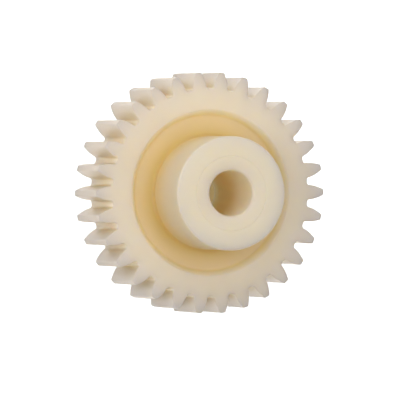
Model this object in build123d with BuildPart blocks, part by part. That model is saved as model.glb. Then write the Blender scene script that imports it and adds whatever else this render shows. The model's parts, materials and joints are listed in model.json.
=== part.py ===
from build123d import *
from math import acos, cos, pi, radians, sin, tan
import os

# A spur pinion with a hub on one side, moulded in one piece from natural acetal.
# It lies on the back of its rim: Z is the bore axis, z = 0 is the back face, the hub points up
# and one tooth is centred on the X axis. All sizes are in millimetres.

# Teeth, on the standard 20 degree basic rack
MODULE = 1.0
TEETH = 30
PRESSURE_ANGLE = radians(20)
FACE_WIDTH = 9.0
TIP_ROUND = 0.22
ROOT_FILLET = 0.38
TOOTH_END_CHAMFER = 0.1

# Hub and bore
OVERALL_LENGTH = 17.0
HUB_DIAMETER = 15.0
HUB_EDGE_ROUND = 0.25
BORE_DIAMETER = 6.0
BORE_EDGE_ROUND = 0.3

# Recess inside the toothed rim: round the hub on the front, right in to the bore on the back
FRONT_RECESS_DEPTH = 1.2
BACK_RECESS_DEPTH = 2.0
RECESS_LIP_RADIUS = 11.0
RECESS_FLOOR_RADIUS = 10.35
RECESS_LIP_ROUND = 0.3
RECESS_WALL_FILLET = 0.35
HUB_BASE_FILLET = 0.5

# Fine witness groove that the ejector sleeve leaves round the bore on the hub face
WITNESS_RADIUS = 4.9
WITNESS_WIDTH = 0.12
WITNESS_DEPTH = 0.06

PITCH_RADIUS = MODULE * TEETH / 2
BASE_RADIUS = PITCH_RADIUS * cos(PRESSURE_ANGLE)
TIP_RADIUS = PITCH_RADIUS + MODULE
ROOT_RADIUS = PITCH_RADIUS - 1.25 * MODULE
HUB_RADIUS = HUB_DIAMETER / 2
BORE_RADIUS = BORE_DIAMETER / 2
INVOLUTE_POINTS = 7
BLANK_RADIUS = TIP_RADIUS + MODULE


def involute(angle):
    return tan(angle) - angle


def flank_point(radius, side):
    """Point of the flank on one side, +1 or -1, of the tooth that is centred on the X axis."""
    pressure_angle = acos(min(1.0, BASE_RADIUS / radius))
    half_angle = pi / (2 * TEETH) + involute(PRESSURE_ANGLE) - involute(pressure_angle)
    return (radius * cos(half_angle), side * radius * sin(half_angle))


def flank_points(side):
    """Points from inside the rim to the tip: radial below the base circle, involute above it."""
    foot = ROOT_RADIUS - MODULE / 2
    step = (TIP_RADIUS - BASE_RADIUS) / (INVOLUTE_POINTS - 1)
    radii = [foot, ROOT_RADIUS] + [BASE_RADIUS + step * i for i in range(INVOLUTE_POINTS)]
    return [flank_point(radius, side) for radius in radii]


def axis_distance(vertex):
    return (vertex.X**2 + vertex.Y**2) ** 0.5


with BuildSketch() as tooth:
    with BuildLine():
        upper = Spline(*flank_points(1))
        lower = Spline(*flank_points(-1))
        ThreePointArc(upper @ 1, (TIP_RADIUS, 0), lower @ 1)
        Line(upper @ 0, lower @ 0)
    make_face()

with BuildSketch() as gear_outline:
    Circle(ROOT_RADIUS)
    with PolarLocations(0, TEETH):
        add(tooth.sketch)
    fillet(gear_outline.vertices().sort_by(axis_distance)[: 2 * TEETH], ROOT_FILLET)
    fillet(gear_outline.vertices().sort_by(axis_distance)[-2 * TEETH :], TIP_ROUND)

# Half section of hub, web and rim, drawn solid out to past the tooth tips, as corners
# (radius, height) with the rounding of each corner
front_floor = FACE_WIDTH - FRONT_RECESS_DEPTH
section_corners = [
    (BORE_RADIUS, OVERALL_LENGTH, BORE_EDGE_ROUND),
    (HUB_RADIUS, OVERALL_LENGTH, HUB_EDGE_ROUND),
    (HUB_RADIUS, front_floor, HUB_BASE_FILLET),
    (RECESS_FLOOR_RADIUS, front_floor, RECESS_WALL_FILLET),
    (RECESS_LIP_RADIUS, FACE_WIDTH, RECESS_LIP_ROUND),
    (BLANK_RADIUS, FACE_WIDTH, 0),
    (BLANK_RADIUS, 0, 0),
    (RECESS_LIP_RADIUS, 0, RECESS_LIP_ROUND),
    (RECESS_FLOOR_RADIUS, BACK_RECESS_DEPTH, RECESS_WALL_FILLET),
    (BORE_RADIUS, BACK_RECESS_DEPTH, BORE_EDGE_ROUND),
]
with BuildSketch(Plane.XZ) as half_section:
    with BuildLine():
        FilletPolyline(
            [(radius, height) for radius, height, _ in section_corners],
            radius=[rounding for _, _, rounding in section_corners],
            close=True,
        )
    make_face()

with BuildPart() as pinion_gear:
    add(half_section.sketch)
    revolve(axis=Axis.Z)

    # Witness groove on the hub face
    with BuildSketch(Plane.XY.offset(OVERALL_LENGTH)):
        Circle(WITNESS_RADIUS + WITNESS_WIDTH / 2)
        Circle(WITNESS_RADIUS - WITNESS_WIDTH / 2, mode=Mode.SUBTRACT)
    extrude(amount=-WITNESS_DEPTH, mode=Mode.SUBTRACT)

    # Teeth, with a small chamfer round both ends of the rim
    add(gear_outline.sketch)
    extrude(amount=OVERALL_LENGTH, mode=Mode.INTERSECT)
    flat_faces = pinion_gear.faces().filter_by(Axis.Z)
    rim_faces = [face for face in flat_faces if face.bounding_box().max.X > ROOT_RADIUS]
    rim_edges = [edge for face in rim_faces for edge in face.outer_wire().edges()]
    chamfer(rim_edges, TOOTH_END_CHAMFER)

pinion_gear.part.label = "pinion_gear"
os.makedirs("parts", exist_ok=True)
export_step(pinion_gear.part, "parts/pinion_gear.step")
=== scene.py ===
import json
from math import atan2, ceil, cos, hypot, pi, radians, sin, sqrt, tan

import bpy
import numpy as np
from mathutils import Matrix, Vector


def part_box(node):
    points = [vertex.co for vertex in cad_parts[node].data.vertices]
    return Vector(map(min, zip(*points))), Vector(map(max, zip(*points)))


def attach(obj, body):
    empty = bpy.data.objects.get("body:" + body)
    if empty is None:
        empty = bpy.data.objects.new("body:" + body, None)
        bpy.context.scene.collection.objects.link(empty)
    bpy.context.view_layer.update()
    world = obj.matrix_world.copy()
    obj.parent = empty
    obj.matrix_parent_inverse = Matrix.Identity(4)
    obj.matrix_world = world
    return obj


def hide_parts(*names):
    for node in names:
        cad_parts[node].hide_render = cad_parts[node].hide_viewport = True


# The looks of a spur pinion moulded in natural acetal. Lengths in this file are in millimetres,
# and MM turns them into Blender's metres when an object is made.
MM = 0.001

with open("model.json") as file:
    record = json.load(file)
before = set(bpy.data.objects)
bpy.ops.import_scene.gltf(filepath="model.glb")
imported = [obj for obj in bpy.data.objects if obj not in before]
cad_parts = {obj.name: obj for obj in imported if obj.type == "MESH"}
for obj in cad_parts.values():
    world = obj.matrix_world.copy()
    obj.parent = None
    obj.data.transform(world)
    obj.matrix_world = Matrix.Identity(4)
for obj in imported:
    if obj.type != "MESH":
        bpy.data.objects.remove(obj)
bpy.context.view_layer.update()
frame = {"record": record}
_, node_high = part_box("pinion_gear")
mounts = {mount["name"]: mount for mount in frame["record"]["mounts"]}

# Sizes that the frame gives
TIP_RADIUS = node_high[0] / MM
OVERALL_LENGTH = node_high[2] / MM
BORE_RADIUS = mounts["bore"]["dims"]["r_mm"]
HUB_RADIUS = mounts["hub_outside"]["dims"]["r_mm"]

# Teeth
TEETH = 30
MODULE = 2 * TIP_RADIUS / (TEETH + 2)
PRESSURE_ANGLE = radians(20)
FACE_WIDTH = 9 * MODULE
TIP_ROUND = 0.22
ROOT_FILLET = 0.38
END_ROUND = 0.12
PITCH_RADIUS = MODULE * TEETH / 2
BASE_RADIUS = PITCH_RADIUS * cos(PRESSURE_ANGLE)
ROOT_RADIUS = PITCH_RADIUS - 1.25 * MODULE

# Hub, recess and bore
HUB_EDGE_ROUND = 0.25
HUB_BASE_FILLET = 0.5
FRONT_RECESS_DEPTH = 1.2
BACK_RECESS_DEPTH = 2.0
RECESS_LIP_RADIUS = 11.0
RECESS_FLOOR_RADIUS = 10.35
RECESS_LIP_ROUND = 0.3
RECESS_WALL_FILLET = 0.35
BORE_EDGE_ROUND = 0.3
WITNESS_RADIUS = 4.9
WITNESS_WIDTH = 0.12
WITNESS_DEPTH = 0.06
SMALL_ROUND = 0.04

# Mesh fineness: quads across a tooth and across a gap, and steps along flanks, roundings and runs
TOOTH_COLUMNS = 4
ROOT_COLUMNS = 2
FLANK_STEPS = 8
ROUND_STEP = radians(15)
LONGEST_STEP = 1.0
# The grid on the teeth meets the lathe this far inside the foot of the teeth
JOIN_INSET = 3 * END_ROUND + 0.4

# Acetal: what it sends back of white light, the deep gold painted as shade where light would only
# arrive through the plastic (the random clouds lean towards it too), and how far light of each colour
# travels in it between bounces
BODY_COLOUR = (0.994, 0.83, 0.68)
PAINTED_SHADE_AND_CLOUD_COLOUR = (0.80, 0.65, 0.26)
SCATTER = (9.5, 8.0, 5.0)
REFRACTIVE_INDEX = 1.48
ROUGHNESS = 0.36
ROUGHNESS_SPREAD = 0.06
CLOUD_SIZE = 5.0
CLOUD_STRENGTH = 0.05
GRAIN_SIZE = 0.35
GRAIN_DEPTH = 0.004

# How much painted shade shows: at the outer edge of the recess floor (it is full at the hub),
# at the foot of the hub, at the far end of the bore and in the gaps between the teeth
FLOOR_EDGE_PAINTED_SHADE = 0.45
WALL_PAINTED_SHADE = 0.6
WALL_PAINTED_SHADE_POWER = 3.0
BORE_PAINTED_SHADE = 0.12
GAP_PAINTED_SHADE = 0.05

# Softboxes, all aimed at the middle of the back face: name, azimuth and elevation in degrees,
# power in watts
LIGHTS = (
    ("high_right", 50, 71, 0.077),
    ("low_right", 335, 58, 0.062),
    ("top", 101, 38, 0.14),
    ("left", 178, 58, 0.225),
)
LIGHT_DISTANCE = 250.0
LIGHT_SIDE = 120.0
LIGHT_COLOUR = (1.0, 0.92, 0.84)
# Strength of the even light from above and from below
SKY = 0.21
BOUNCE = 0.32

# Floor: white in the open, and a painted dim gold shadow under the gear, standing for light that has
# come through the plastic
FLOOR_HALF_SIDE = 4000.0
FLOOR_DROP = 0.02
FLOOR_GREY = 0.9
FLOOR_ROUGHNESS = 0.9
PAINTED_SHADOW_UNDER_GEAR = (0.12, 0.08, 0.03)

# Camera, from the middle of the front rim face
VIEW_YAW = 0.34601
VIEW_PITCH = -0.00952
VIEW_ROLL = 0.00736
CAMERA_DISTANCE = 755.0
AIM_RIGHT = 0.626
AIM_UP = 1.478
LENS = 498.3
SENSOR = 36.0


def polar(radius, angle):
    return np.array((radius * cos(angle), radius * sin(angle)))


def half_tooth():
    """Half of one pitch of the gear outline, from the tip corner to the middle of the next gap,
    as rows of point and outward normal. The tooth is centred on the X axis."""
    pressure = tan(PRESSURE_ANGLE) - PRESSURE_ANGLE
    base_angle = pi / (2 * TEETH) + pressure

    # A rounding of radius r touches the flank on a line tangent to the base circle
    tip_centre_radius = TIP_RADIUS - TIP_ROUND
    tip_string = sqrt(tip_centre_radius**2 - BASE_RADIUS**2)
    tip_foot = base_angle - (TIP_ROUND + tip_string) / BASE_RADIUS
    tip_centre = polar(BASE_RADIUS, tip_foot) + polar(tip_string, tip_foot + pi / 2)
    root_centre_radius = ROOT_RADIUS + ROOT_FILLET
    root_string = sqrt(root_centre_radius**2 - BASE_RADIUS**2)
    root_foot = base_angle + (ROOT_FILLET - root_string) / BASE_RADIUS
    root_centre = polar(BASE_RADIUS, root_foot) + polar(root_string, root_foot + pi / 2)

    rows = []
    start, end = atan2(tip_centre[1], tip_centre[0]), tip_foot + pi / 2
    steps = ceil((end - start) / ROUND_STEP)
    for i in range(steps):
        angle = start + (end - start) * i / steps
        rows.append((tip_centre + polar(TIP_ROUND, angle), polar(1, angle)))
    longest, shortest = tip_string + TIP_ROUND, root_string - ROOT_FILLET
    for i in range(FLANK_STEPS):
        string = longest + (shortest - longest) * i / FLANK_STEPS
        foot = base_angle - string / BASE_RADIUS
        rows.append((polar(BASE_RADIUS, foot) + polar(string, foot + pi / 2), polar(1, foot + pi / 2)))
    start, end = root_foot + pi / 2, atan2(root_centre[1], root_centre[0])
    steps = ceil((start - end) / ROUND_STEP)
    for i in range(steps + 1):
        angle = start + (end - start) * i / steps
        rows.append((root_centre - polar(ROOT_FILLET, angle), polar(1, angle)))
    return rows


def turned(rows, angle):
    turn = np.array(((cos(angle), -sin(angle)), (sin(angle), cos(angle))))
    return [(turn @ point, turn @ normal) for point, normal in rows]


def arc_rows(radius, start, end, columns):
    """Points between, but not at, the ends of an arc about the gear's axis."""
    angles = [start + (end - start) * i / columns for i in range(1, columns)]
    return [(polar(radius, angle), polar(1, angle)) for angle in angles]


def pitch_outline():
    """One pitch of the outline, anticlockwise, from the foot of a tooth to the foot of the next."""
    upper = half_tooth()
    lower = [(np.array((p[0], -p[1])), np.array((n[0], -n[1]))) for p, n in reversed(upper)]
    corner = atan2(upper[0][0][1], upper[0][0][0])
    foot = atan2(upper[-1][0][1], upper[-1][0][0])
    tip = arc_rows(TIP_RADIUS, -corner, corner, TOOTH_COLUMNS)
    gap = arc_rows(ROOT_RADIUS, foot, 2 * pi / TEETH - foot, ROOT_COLUMNS)
    return lower + tip + upper + gap, len(upper)


def rounded_profile(corners):
    """A chain of straight runs with rounded corners, from (radius, height, rounding) corners,
    as rows of point and outward normal. The material is on the left of the direction of travel."""
    points = [np.array(c[:2], float) for c in corners]
    rows = []
    for i, (_, _, rounding) in enumerate(corners):
        point = points[i]
        if i in (0, len(corners) - 1):
            along = points[1] - points[0] if i == 0 else points[-1] - points[-2]
            along = along / hypot(*along)
            rows.append((point, np.array((along[1], -along[0]))))
            continue
        before = (point - points[i - 1]) / hypot(*(point - points[i - 1]))
        after = (points[i + 1] - point) / hypot(*(points[i + 1] - point))
        turn = atan2(before[0] * after[1] - before[1] * after[0], before @ after)
        reach = rounding * tan(abs(turn) / 2)
        side = 1 if turn > 0 else -1
        centre = point - before * reach + side * rounding * np.array((-before[1], before[0]))
        steps = max(2, ceil(abs(turn) / ROUND_STEP))
        for k in range(steps + 1):
            angle = turn * k / steps
            spin = np.array(((cos(angle), -sin(angle)), (sin(angle), cos(angle))))
            normal = spin @ np.array((before[1], -before[0]))
            rows.append((centre + side * rounding * normal, normal))
    return rows


def divided(rows):
    """The same chain with long straight runs divided."""
    out = [rows[0]]
    for (p0, n0), (p1, n1) in zip(rows, rows[1:]):
        length = hypot(*(p1 - p0))
        if n0 @ n1 > 0.9999 and length > LONGEST_STEP:
            pieces = ceil(length / LONGEST_STEP)
            out += [(p0 + (p1 - p0) * k / pieces, n0) for k in range(1, pieces)]
        out.append((p1, n1))
    return out


def inner_profile(join_radius):
    """Front rim face, recess, hub, bore and back, from the join on the front to that on the back."""
    front_floor = FACE_WIDTH - FRONT_RECESS_DEPTH
    top = OVERALL_LENGTH
    inner, outer = WITNESS_RADIUS - WITNESS_WIDTH / 2, WITNESS_RADIUS + WITNESS_WIDTH / 2
    return divided(rounded_profile([
        (join_radius, FACE_WIDTH, 0),
        (RECESS_LIP_RADIUS, FACE_WIDTH, RECESS_LIP_ROUND),
        (RECESS_FLOOR_RADIUS, front_floor, RECESS_WALL_FILLET),
        (HUB_RADIUS, front_floor, HUB_BASE_FILLET),
        (HUB_RADIUS, top, HUB_EDGE_ROUND),
        (outer, top, SMALL_ROUND / 2),
        (WITNESS_RADIUS, top - WITNESS_DEPTH, SMALL_ROUND / 2),
        (inner, top, SMALL_ROUND / 2),
        (BORE_RADIUS, top, BORE_EDGE_ROUND),
        (BORE_RADIUS, BACK_RECESS_DEPTH, BORE_EDGE_ROUND),
        (RECESS_FLOOR_RADIUS, BACK_RECESS_DEPTH, RECESS_WALL_FILLET),
        (RECESS_LIP_RADIUS, 0, RECESS_LIP_ROUND),
        (join_radius, 0, 0),
    ]))


class Skin:
    """Vertices with their normals, and faces, collected for one mesh."""

    def __init__(self):
        self.points, self.normals, self.faces = [], [], []

    def ring(self, rows):
        """Adds a closed ring of (point, normal) rows and returns its vertex numbers."""
        first = len(self.points)
        self.points += [p for p, _ in rows]
        self.normals += [n for _, n in rows]
        return list(range(first, len(self.points)))

    def band(self, inner, outer):
        """Quads between two closed rings of the same length, facing up where outer is outside."""
        count = len(inner)
        for i in range(count):
            j = (i + 1) % count
            self.faces.append((inner[i], outer[i], outer[j], inner[j]))


def gear_skin():
    pitch_rows, half = pitch_outline()
    outline = []
    for k in range(TEETH):
        outline += turned(pitch_rows, 2 * pi * k / TEETH)
    per_pitch = len(pitch_rows)
    skin = Skin()

    # Outer skin: rounded back edge, tooth flanks and rounded front edge
    levels = []
    steps = ceil(pi / 2 / ROUND_STEP)
    for i in range(steps + 1):
        lean = pi / 2 * (1 - i / steps)
        levels.append((END_ROUND * (1 - cos(lean)), END_ROUND * (1 - sin(lean)), -sin(lean)))
    levels += [(inset, FACE_WIDTH - height, -up) for inset, height, up in reversed(levels)]
    rings = []
    for inset, height, up in levels:
        flat = sqrt(1 - up * up)
        rings.append(skin.ring([
            (np.array((*(p - inset * n), height)), np.array((*(flat * n), up)))
            for p, n in outline
        ]))
    for lower, upper in zip(rings, rings[1:]):
        skin.band(upper, lower)

    # Flat ends of the rim: a grid on each tooth, down to a circle at the root
    joins = []
    for ring, height, up in ((rings[0], 0.0, -1.0), (rings[-1], FACE_WIDTH, 1.0)):
        root_ring = []
        facing = np.array((0, 0, up))
        for k in range(TEETH):
            first = k * per_pitch
            lower = [ring[first + i] for i in range(half)]
            top = [ring[first + half + i] for i in range(TOOTH_COLUMNS - 1)]
            upper = [ring[first + half + TOOTH_COLUMNS - 1 + i] for i in range(half)][::-1]
            gap = [ring[first + 2 * half + TOOTH_COLUMNS - 1 + i] for i in range(ROOT_COLUMNS - 1)]
            rows = []
            for j in range(half - 1):
                p, q = skin.points[lower[j]], skin.points[upper[j]]
                radius = hypot(p[0], p[1])
                start, end = atan2(p[1], p[0]), atan2(q[1], q[0])
                if end < start:
                    end += 2 * pi
                angles = [start + (end - start) * c / TOOTH_COLUMNS for c in range(1, TOOTH_COLUMNS)]
                middle = skin.ring([(np.array((*polar(radius, a), height)), facing) for a in angles])
                rows.append([lower[j], *middle, upper[j]])
            rows.append([lower[-1], *top, upper[-1]])
            for under, over in zip(rows, rows[1:]):
                for c in range(TOOTH_COLUMNS):
                    quad = (under[c], under[c + 1], over[c + 1], over[c])
                    skin.faces.append(quad if up < 0 else quad[::-1])
            root_ring += rows[0] + gap
        joins.append(root_ring)
    count = len(joins[0])
    join_radius = ROOT_RADIUS - JOIN_INSET
    profile = inner_profile(join_radius)
    turns = [2 * pi * (i - TOOTH_COLUMNS / 2) / count for i in range(count)]
    lathe = []
    for (radius, height), (out, up) in profile:
        lathe.append(skin.ring([
            (np.array((*polar(radius, a), height)), np.array((*polar(out, a), up))) for a in turns
        ]))
    skin.band(lathe[0], joins[1])
    for outer, inner in zip(lathe, lathe[1:]):
        skin.band(inner, outer)
    skin.band(joins[0], lathe[-1])
    return skin


def make_gear():
    skin = gear_skin()
    mesh = bpy.data.meshes.new("pinion_moulding")
    mesh.from_pydata([tuple(p * MM) for p in skin.points], [], skin.faces)
    mesh.polygons.foreach_set("use_smooth", [True] * len(mesh.polygons))
    mesh.normals_split_custom_set_from_vertices([tuple(n) for n in skin.normals])
    mesh.update()
    gear = bpy.data.objects.new("pinion_moulding", mesh)
    bpy.context.scene.collection.objects.link(gear)
    return gear


def principled(name):
    material = bpy.data.materials.new(name)
    material.use_nodes = True
    nodes = material.node_tree.nodes
    return material, nodes, material.node_tree.links, nodes["Principled BSDF"]


class Nodes:
    """Short calls for the nodes of a procedural pattern. Lengths are in millimetres."""

    def __init__(self, nodes, links):
        self.nodes, self.links = nodes, links
        place = nodes.new("ShaderNodeTexCoord").outputs["Object"]
        scaled = self.vector("SCALE", place)
        scaled.node.inputs["Scale"].default_value = 1 / MM
        self.place = scaled
        flat = self.vector("MULTIPLY", scaled, (1, 1, 0))
        self.radius = self.vector("LENGTH", flat, output="Value")
        split = nodes.new("ShaderNodeSeparateXYZ")
        links.new(scaled, split.inputs[0])
        self.height = split.outputs["Z"]

    def put(self, socket, value):
        if isinstance(value, bpy.types.NodeSocket):
            self.links.new(value, socket)
        else:
            socket.default_value = value

    def vector(self, operation, a, b=None, output="Vector"):
        node = self.nodes.new("ShaderNodeVectorMath")
        node.operation = operation
        self.put(node.inputs[0], a)
        if b is not None:
            self.put(node.inputs[1], b)
        return node.outputs[output]

    def math(self, operation, a, b):
        node = self.nodes.new("ShaderNodeMath")
        node.operation = operation
        self.put(node.inputs[0], a)
        self.put(node.inputs[1], b)
        return node.outputs[0]

    def ramp(self, value, start, end, low=0.0, high=1.0, kind="SMOOTHSTEP"):
        node = self.nodes.new("ShaderNodeMapRange")
        node.interpolation_type = kind
        self.put(node.inputs["Value"], value)
        for name, number in (("From Min", start), ("From Max", end), ("To Min", low), ("To Max", high)):
            node.inputs[name].default_value = number
        return node.outputs["Result"]

    def noise(self, size, detail):
        node = self.nodes.new("ShaderNodeTexNoise")
        self.put(node.inputs["Vector"], self.place)
        node.inputs["Scale"].default_value = 1 / size
        node.inputs["Detail"].default_value = detail
        return node.outputs["Fac"]

    def product(self, first, *others):
        for other in others:
            first = self.math("MULTIPLY", first, other)
        return first

    def mix(self, factor, a, b):
        """A colour between two colours; sockets 6, 7 and output 2 are the node's colour ones."""
        node = self.nodes.new("ShaderNodeMix")
        node.data_type = "RGBA"
        self.put(node.inputs["Factor"], factor)
        self.put(node.inputs[6], a)
        self.put(node.inputs[7], b)
        return node.outputs[2]


def recess_painted_shade(n):
    """Painted shade on the floors of both recesses, strongest at the hub."""
    below_rim = n.ramp(n.height, FACE_WIDTH - 0.1, FACE_WIDTH - FRONT_RECESS_DEPTH)
    inside_lip = n.ramp(n.radius, RECESS_LIP_RADIUS + 0.6, RECESS_FLOOR_RADIUS)
    inward = n.ramp(n.radius, RECESS_FLOOR_RADIUS, HUB_RADIUS + 0.5, FLOOR_EDGE_PAINTED_SHADE, 1, "LINEAR")
    past_bore = n.ramp(n.radius, BORE_RADIUS + 0.1, BORE_RADIUS + 0.6)
    return n.product(inside_lip, below_rim, inward, past_bore)


def hub_wall_painted_shade(n):
    """Painted shade on the side of the hub, fading out from its foot to its face."""
    on_wall = n.ramp(n.radius, HUB_RADIUS + 0.6, HUB_RADIUS + 0.1)
    low = n.ramp(n.height, OVERALL_LENGTH - 0.5, FACE_WIDTH - FRONT_RECESS_DEPTH)
    return n.product(on_wall, n.math("POWER", low, WALL_PAINTED_SHADE_POWER), WALL_PAINTED_SHADE)


def bore_painted_shade(n):
    """Painted shade on the wall of the bore, growing with depth."""
    in_bore = n.ramp(n.radius, BORE_RADIUS + 0.3, BORE_RADIUS)
    deep = n.ramp(n.height, OVERALL_LENGTH, BACK_RECESS_DEPTH + 4.0, kind="LINEAR")
    return n.product(in_bore, deep, BORE_PAINTED_SHADE)


def tooth_gap_painted_shade(n):
    """Painted shade on the bottoms of the gaps between the teeth, behind the front face."""
    in_gap = n.ramp(n.radius, PITCH_RADIUS + 0.3, ROOT_RADIUS)
    behind_face = n.ramp(n.height, FACE_WIDTH - 0.05, FACE_WIDTH - 0.9)
    outside = n.ramp(n.radius, ROOT_RADIUS - 0.6, ROOT_RADIUS - 0.2)
    return n.product(in_gap, behind_face, outside, GAP_PAINTED_SHADE)


def painted_shade_mask(n):
    """How much painted shade: 0 on open faces, up to 1 in the hollows, where most of the light would
    come through the plastic.
    """
    hub_side_painted_shade = n.math("MAXIMUM", recess_painted_shade(n), hub_wall_painted_shade(n))
    holes_painted_shade = n.math("MAXIMUM", bore_painted_shade(n), tooth_gap_painted_shade(n))
    return n.math("MAXIMUM", hub_side_painted_shade, holes_painted_shade)


def natural_acetal():
    """Ivory acetal as moulded: light soaks in and comes back warmer, under a satin skin, with shade
    painted deep gold into the hollows.
    """
    material, nodes, links, shader = principled("moulded_acetal")
    n = Nodes(nodes, links)
    # Painted shade: the body colour turns deep gold in the recesses, at the hub's foot, down the bore
    # and in the tooth gaps
    colour = n.mix(painted_shade_mask(n), (*BODY_COLOUR, 1), (*PAINTED_SHADE_AND_CLOUD_COLOUR, 1))
    cloud = n.ramp(n.noise(CLOUD_SIZE, 3), 0.35, 0.65, 0, CLOUD_STRENGTH)
    links.new(n.mix(cloud, colour, (*PAINTED_SHADE_AND_CLOUD_COLOUR, 1)), shader.inputs["Base Color"])
    grain = n.noise(GRAIN_SIZE, 2)
    smooth, rough = ROUGHNESS - ROUGHNESS_SPREAD, ROUGHNESS + ROUGHNESS_SPREAD
    links.new(n.ramp(grain, 0.3, 0.7, smooth, rough), shader.inputs["Roughness"])
    bump = nodes.new("ShaderNodeBump")
    bump.inputs["Distance"].default_value = GRAIN_DEPTH * MM
    links.new(grain, bump.inputs["Height"])
    links.new(bump.outputs["Normal"], shader.inputs["Normal"])
    shader.inputs["Subsurface Weight"].default_value = 1.0
    shader.inputs["Subsurface Radius"].default_value = SCATTER
    shader.inputs["Subsurface Scale"].default_value = MM
    shader.inputs["IOR"].default_value = REFRACTIVE_INDEX
    return material


def pale_floor():
    """A plain white ground that neither lights the gear nor takes its shadow, with a dim gold shadow
    painted under the gear.
    """
    side = FLOOR_HALF_SIDE * MM
    mesh = bpy.data.meshes.new("floor")
    corners = [(-side, -side), (side, -side), (side, side), (-side, side)]
    mesh.from_pydata([(x, y, -FLOOR_DROP * MM) for x, y in corners], [], [(0, 1, 2, 3)])
    floor = bpy.data.objects.new("floor", mesh)
    bpy.context.scene.collection.objects.link(floor)
    floor.visible_diffuse = floor.visible_shadow = False
    material, nodes, links, shader = principled("pale_floor")
    shader.inputs["Base Color"].default_value = (FLOOR_GREY, FLOOR_GREY, FLOOR_GREY, 1)
    shader.inputs["Roughness"].default_value = FLOOR_ROUGHNESS
    shader.inputs["Specular IOR Level"].default_value = 0.0
    shader.inputs["Emission Strength"].default_value = 1.0
    n = Nodes(nodes, links)
    # Painted shadow: the floor glows dim gold under the gear and white from just inside the foot of the
    # teeth outwards
    outside_painted_shadow = n.ramp(n.radius, RECESS_FLOOR_RADIUS, ROOT_RADIUS - 0.3)
    glow_with_painted_shadow = n.mix(outside_painted_shadow, (*PAINTED_SHADOW_UNDER_GEAR, 1), (1, 1, 1, 1))
    links.new(glow_with_painted_shadow, shader.inputs["Emission Color"])
    mesh.materials.append(material)


def studio_light():
    """Even light from above and, stronger, from below, and the softboxes."""
    world = bpy.data.worlds.new("studio")
    world.use_nodes = True
    nodes, links = world.node_tree.nodes, world.node_tree.links
    split = nodes.new("ShaderNodeSeparateXYZ")
    links.new(nodes.new("ShaderNodeTexCoord").outputs["Generated"], split.inputs[0])
    level = nodes.new("ShaderNodeMapRange")
    links.new(split.outputs["Z"], level.inputs["Value"])
    for name, number in (("From Min", -0.1), ("From Max", 0.1), ("To Min", BOUNCE), ("To Max", SKY)):
        level.inputs[name].default_value = number
    nodes["Background"].inputs["Color"].default_value = (*LIGHT_COLOUR, 1)
    links.new(level.outputs["Result"], nodes["Background"].inputs["Strength"])
    bpy.context.scene.world = world
    for name, azimuth, elevation, power in LIGHTS:
        a, e = radians(azimuth), radians(elevation)
        data = bpy.data.lights.new(name, "AREA")
        data.shape, data.size = "SQUARE", LIGHT_SIDE * MM
        data.energy, data.color = power, LIGHT_COLOUR
        lamp = bpy.data.objects.new(name, data)
        lamp.location = Vector((cos(e) * cos(a), cos(e) * sin(a), sin(e))) * LIGHT_DISTANCE * MM
        lamp.rotation_mode = "QUATERNION"
        lamp.rotation_quaternion = (-lamp.location).to_track_quat("-Z", "Y")
        bpy.context.scene.collection.objects.link(lamp)


def place_camera():
    """A long lens on the hub side, a little to the left of the bore axis."""
    cy, sy, cp, sp = cos(VIEW_YAW), sin(VIEW_YAW), cos(VIEW_PITCH), sin(VIEW_PITCH)
    right = Vector((cy, -sy * sp, sy * cp))
    up = Vector((0, cp, sp))
    back = Vector((-sy, -cy * sp, cy * cp))
    target = Vector((0, 0, FACE_WIDTH))
    place = target - AIM_RIGHT * right - AIM_UP * up + CAMERA_DISTANCE * back
    axes = Matrix((right, up, back)).transposed().to_4x4()
    data = bpy.data.cameras.new("camera")
    data.lens, data.sensor_width = LENS, SENSOR
    camera = bpy.data.objects.new("camera", data)
    camera.matrix_world = Matrix.Rotation(-VIEW_ROLL, 4, "Z") @ Matrix.Translation(place * MM) @ axes
    bpy.context.scene.collection.objects.link(camera)
    bpy.context.scene.camera = camera


place_camera()
pale_floor()
studio_light()
gear = make_gear()
gear.data.materials.append(natural_acetal())
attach(gear, "root")
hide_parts("pinion_gear")
bpy.context.scene.view_settings.view_transform = "Standard"
